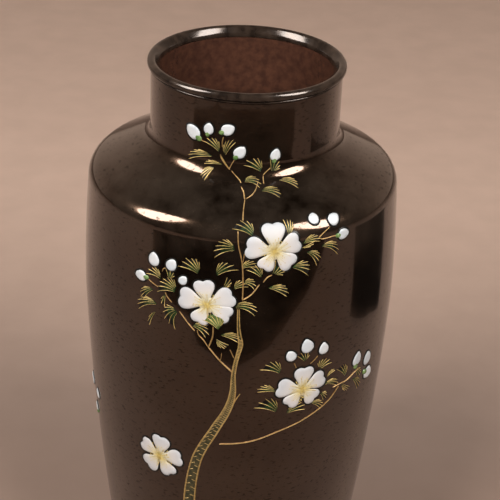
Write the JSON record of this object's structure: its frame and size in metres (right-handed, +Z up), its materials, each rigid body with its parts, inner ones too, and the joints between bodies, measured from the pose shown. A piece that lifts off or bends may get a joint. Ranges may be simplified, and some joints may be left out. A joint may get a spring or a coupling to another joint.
{
  "type": "cloisonne vase",
  "caption": "Broad-shouldered vase in black enamel on copper, with a short straight neck, a rolled metal lip and foot, and a raised branch of white blossoms, buds and gilt-ribbed leaves",
  "frame": {"origin": "centre of the foot's flat underside, on the vase's axis", "axes": "+Z up the vase's axis from foot to mouth; the flowering branch faces -Y; +X to the right of someone facing the branch"},
  "size_m": [0.15, 0.151, 0.312],
  "materials": {
    "copper": "hammered copper sheet, hidden under the enamel",
    "black_enamel": "mirror-polished black vitreous enamel",
    "brown_enamel": "glossy dark brown counter-enamel",
    "patinated_metal": "dark patinated metal, polished on its edges",
    "white_enamel": "soft white enamel, slightly raised",
    "yellow_enamel": "pale yellow enamel with fine gilt stamens",
    "green_enamel": "dark green translucent enamel between gilt ribs",
    "bark_enamel": "green-brown enamel between gilt outline wires"
  },
  "bodies": {
    "root": {"base_plate": "copper", "base_underside_enamel": "brown_enamel", "black_ground_enamel": "black_enamel", "blossom_base": "white_enamel", "blossom_base_eye": "yellow_enamel", "blossom_left": "white_enamel", "blossom_left_eye": "yellow_enamel", "blossom_lower": "white_enamel", "blossom_lower_eye": "yellow_enamel", "blossom_right": "white_enamel", "blossom_right_eye": "yellow_enamel", "branch_left": "bark_enamel", "branch_lower_right": "bark_enamel", "bud_left_1": "white_enamel", "bud_left_2": "white_enamel", "bud_left_3": "white_enamel", "bud_left_4": "white_enamel", "bud_lower_1": "white_enamel", "bud_lower_2": "white_enamel", "bud_lower_3": "white_enamel", "bud_lower_4": "white_enamel", "bud_lower_5": "white_enamel", "bud_lower_6": "white_enamel", "bud_neck_1": "white_enamel", "bud_neck_2": "white_enamel", "bud_neck_3": "white_enamel", "bud_neck_4": "white_enamel", "bud_neck_5": "white_enamel", "bud_right_1": "white_enamel", "bud_right_2": "white_enamel", "bud_right_3": "white_enamel", "bud_side_1": "white_enamel", "bud_side_2": "white_enamel", "bud_side_3": "white_enamel", "copper_body": "copper", "copper_neck": "copper", "foot_ring": "patinated_metal", "inner_counter_enamel": "brown_enamel", "leaf_left_1": "green_enamel", "leaf_left_2": "green_enamel", "leaf_left_3": "green_enamel", "leaf_left_4": "green_enamel", "leaf_left_5": "green_enamel", "leaf_lower_1": "green_enamel", "leaf_lower_2": "green_enamel", "leaf_lower_3": "green_enamel", "leaf_neck_1": "green_enamel", "leaf_neck_2": "green_enamel", "leaf_neck_3": "green_enamel", "leaf_neck_4": "green_enamel", "leaf_right_1": "green_enamel", "leaf_right_2": "green_enamel", "leaf_right_3": "green_enamel", "mouth_rim": "patinated_metal", "stem_upper": "bark_enamel", "trunk": "bark_enamel", "twig_neck_left": "bark_enamel", "twig_neck_right": "bark_enamel", "twig_right": "bark_enamel"}
  },
  "joints": []
}
